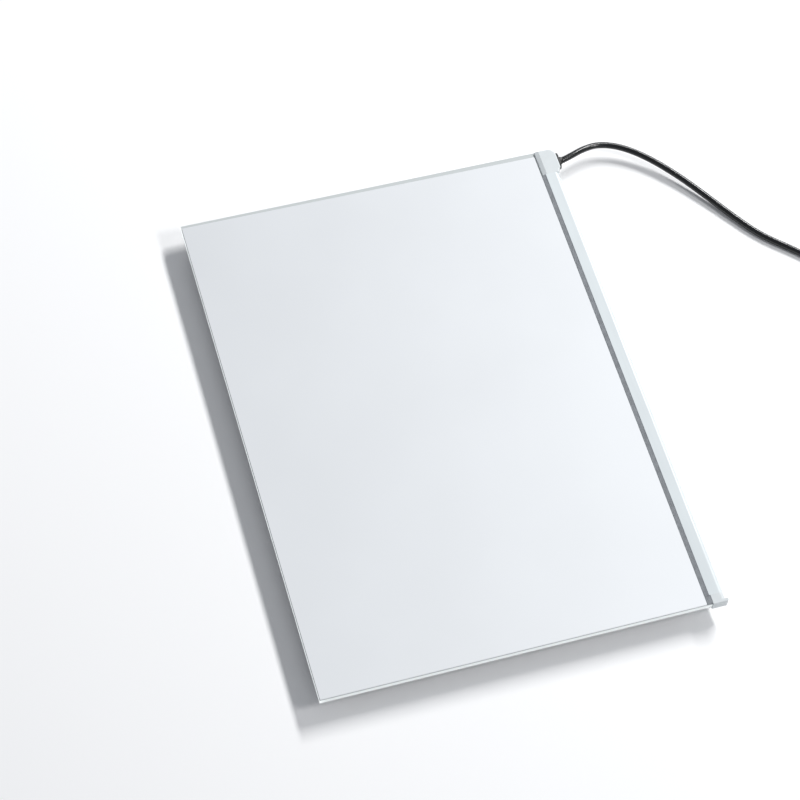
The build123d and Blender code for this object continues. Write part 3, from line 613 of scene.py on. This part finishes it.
def add_tie():
    """A hook-and-loop strap round the coil's turns, its end lapped over its start."""
    path = strap_path()
    section = bevelled_section(TIE_WIDTH / 2, TIE_THICKNESS / 2, TIE_BEVEL)
    outward = Vector((math.cos(TIE_ANGLE), math.sin(TIE_ANGLE), 0))
    across = Vector((-math.sin(TIE_ANGLE), math.cos(TIE_ANGLE), 0))
    up = Vector((0, 0, 1))
    middle = COIL_MIDDLE + outward * BUNDLE_R
    vertices = [
        middle + outward * (u + nu * t) + across * w + up * (v + nv * t)
        for u, v, nu, nv in path
        for w, t in section
    ]
    faces = tube_faces(len(path), len(section))
    tie = add_piece("tie_strap", vertices, faces, "tie_black", "panel")
    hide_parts("cord_tie")
    return tie


ROCKER_JOINT = frame["joints"][0]  # the only one
PIVOT = Vector(ROCKER_JOINT["pos_m"])
ROCKER_TILT = -math.radians(ROCKER_JOINT["range_deg"][1] / 2)  # at rest, pressed at one end
ROCKER_ARC_R, ROCKER_DIP = 0.0278, 0.0031  # the dished top, above the pivot
FIRST_RIDGE = 0.0042  # distance from the pivot
RIDGES, RIDGE_PITCH = 3, 0.0012  # at each end of the rocker
RIDGE_HALF_WIDTH, RIDGE_HALF_THICK = 0.0036, 0.00028
RIDGE_HEIGHT, RIDGE_BEVEL, RIDGE_ROOT = 0.0003, 0.0001, 0.0002


def ridge_section(along):
    """The (along, height) corners of a ridge that stands on the dished top at this place."""
    base = ROCKER_DIP + ROCKER_ARC_R - math.sqrt(ROCKER_ARC_R**2 - along**2)
    root, top = base - RIDGE_ROOT, base + RIDGE_HEIGHT
    rear, front = along - RIDGE_HALF_THICK, along + RIDGE_HALF_THICK
    return [
        (rear, root), (front, root),
        (front, top - RIDGE_BEVEL), (front - RIDGE_BEVEL, top),
        (rear + RIDGE_BEVEL, top), (rear, top - RIDGE_BEVEL),
    ]


def add_rocker_ridges():
    """Grip ridges across the rocker's dished top, near each of its ends."""
    sine, cosine = math.sin(ROCKER_TILT), math.cos(ROCKER_TILT)
    vertices, faces = [], []
    for along in (end * (FIRST_RIDGE + i * RIDGE_PITCH) for end in (-1, 1) for i in range(RIDGES)):
        section = ridge_section(along)
        first = len(vertices)
        for x in (-RIDGE_HALF_WIDTH, RIDGE_HALF_WIDTH):
            for s, h in section:
                vertices.append(PIVOT + Vector((x, s * cosine - h * sine, s * sine + h * cosine)))
        faces += [tuple(first + k for k in face) for face in tube_faces(2, len(section))]
    return add_piece("rocker_ridges", vertices, faces, "rocker_black", "rocker")


plug_moulding = add_plug_moulding()
tie = add_tie()
rocker_ridges = add_rocker_ridges()

# ---- studio -------------------------------------------------------------------------
FLOOR_HALF, FLOOR_Z = 6.0, -0.0001
KEY_PLACE = Vector((1.37, 1.12, 1.45))
KEY_AIM = Vector((0.0, 1.12, 0.0))  # square to the channel
KEY_LENGTH, KEY_HEIGHT = 1.16, 0.22
KEY_POWER = 52.0
FILL_PLACE = Vector((1.3, -0.78, 1.45))
FILL_AIM = Vector((0.0, -0.78, 0.0))
FILL_LENGTH, FILL_HEIGHT = 0.62, 0.22
FILL_POWER = 13.0
SKY_STRENGTH = 0.335
SKY_COLOUR = (0.93, 0.965, 1.03, 1.0)


def add_floor():
    corners = [(x * FLOOR_HALF, y * FLOOR_HALF, FLOOR_Z) for x, y in ((-1, -1), (1, -1), (1, 1), (-1, 1))]
    mesh = bpy.data.meshes.new("floor")
    mesh.from_pydata(corners, [], [(0, 1, 2, 3)])
    tones = (grey(0.96), grey(0.97))
    mesh.materials.append(finish("floor", tones, (0.7, 0.8), patch=0.5, grain=0.004, relief=0.00001))
    link("floor", mesh)


def add_strip_light(name, place, target, size, power):
    """A long soft light on the channel's side of the box, its long way along Y."""
    light = bpy.data.lights.new(name, "AREA")
    light.shape = "RECTANGLE"
    light.size, light.size_y = size
    light.energy = power
    lamp = link(name, light)
    lamp.visible_camera = False
    aim(lamp, place, target)


def set_sky():
    world = bpy.data.worlds.new("sky")
    world.use_nodes = True
    background = world.node_tree.nodes["Background"]
    background.inputs["Color"].default_value = SKY_COLOUR
    background.inputs["Strength"].default_value = SKY_STRENGTH
    bpy.context.scene.world = world


add_floor()
add_strip_light("key", KEY_PLACE, KEY_AIM, (KEY_LENGTH, KEY_HEIGHT), KEY_POWER)
add_strip_light("fill", FILL_PLACE, FILL_AIM, (FILL_LENGTH, FILL_HEIGHT), FILL_POWER)
set_sky()
bpy.context.scene.view_settings.view_transform = "Standard"
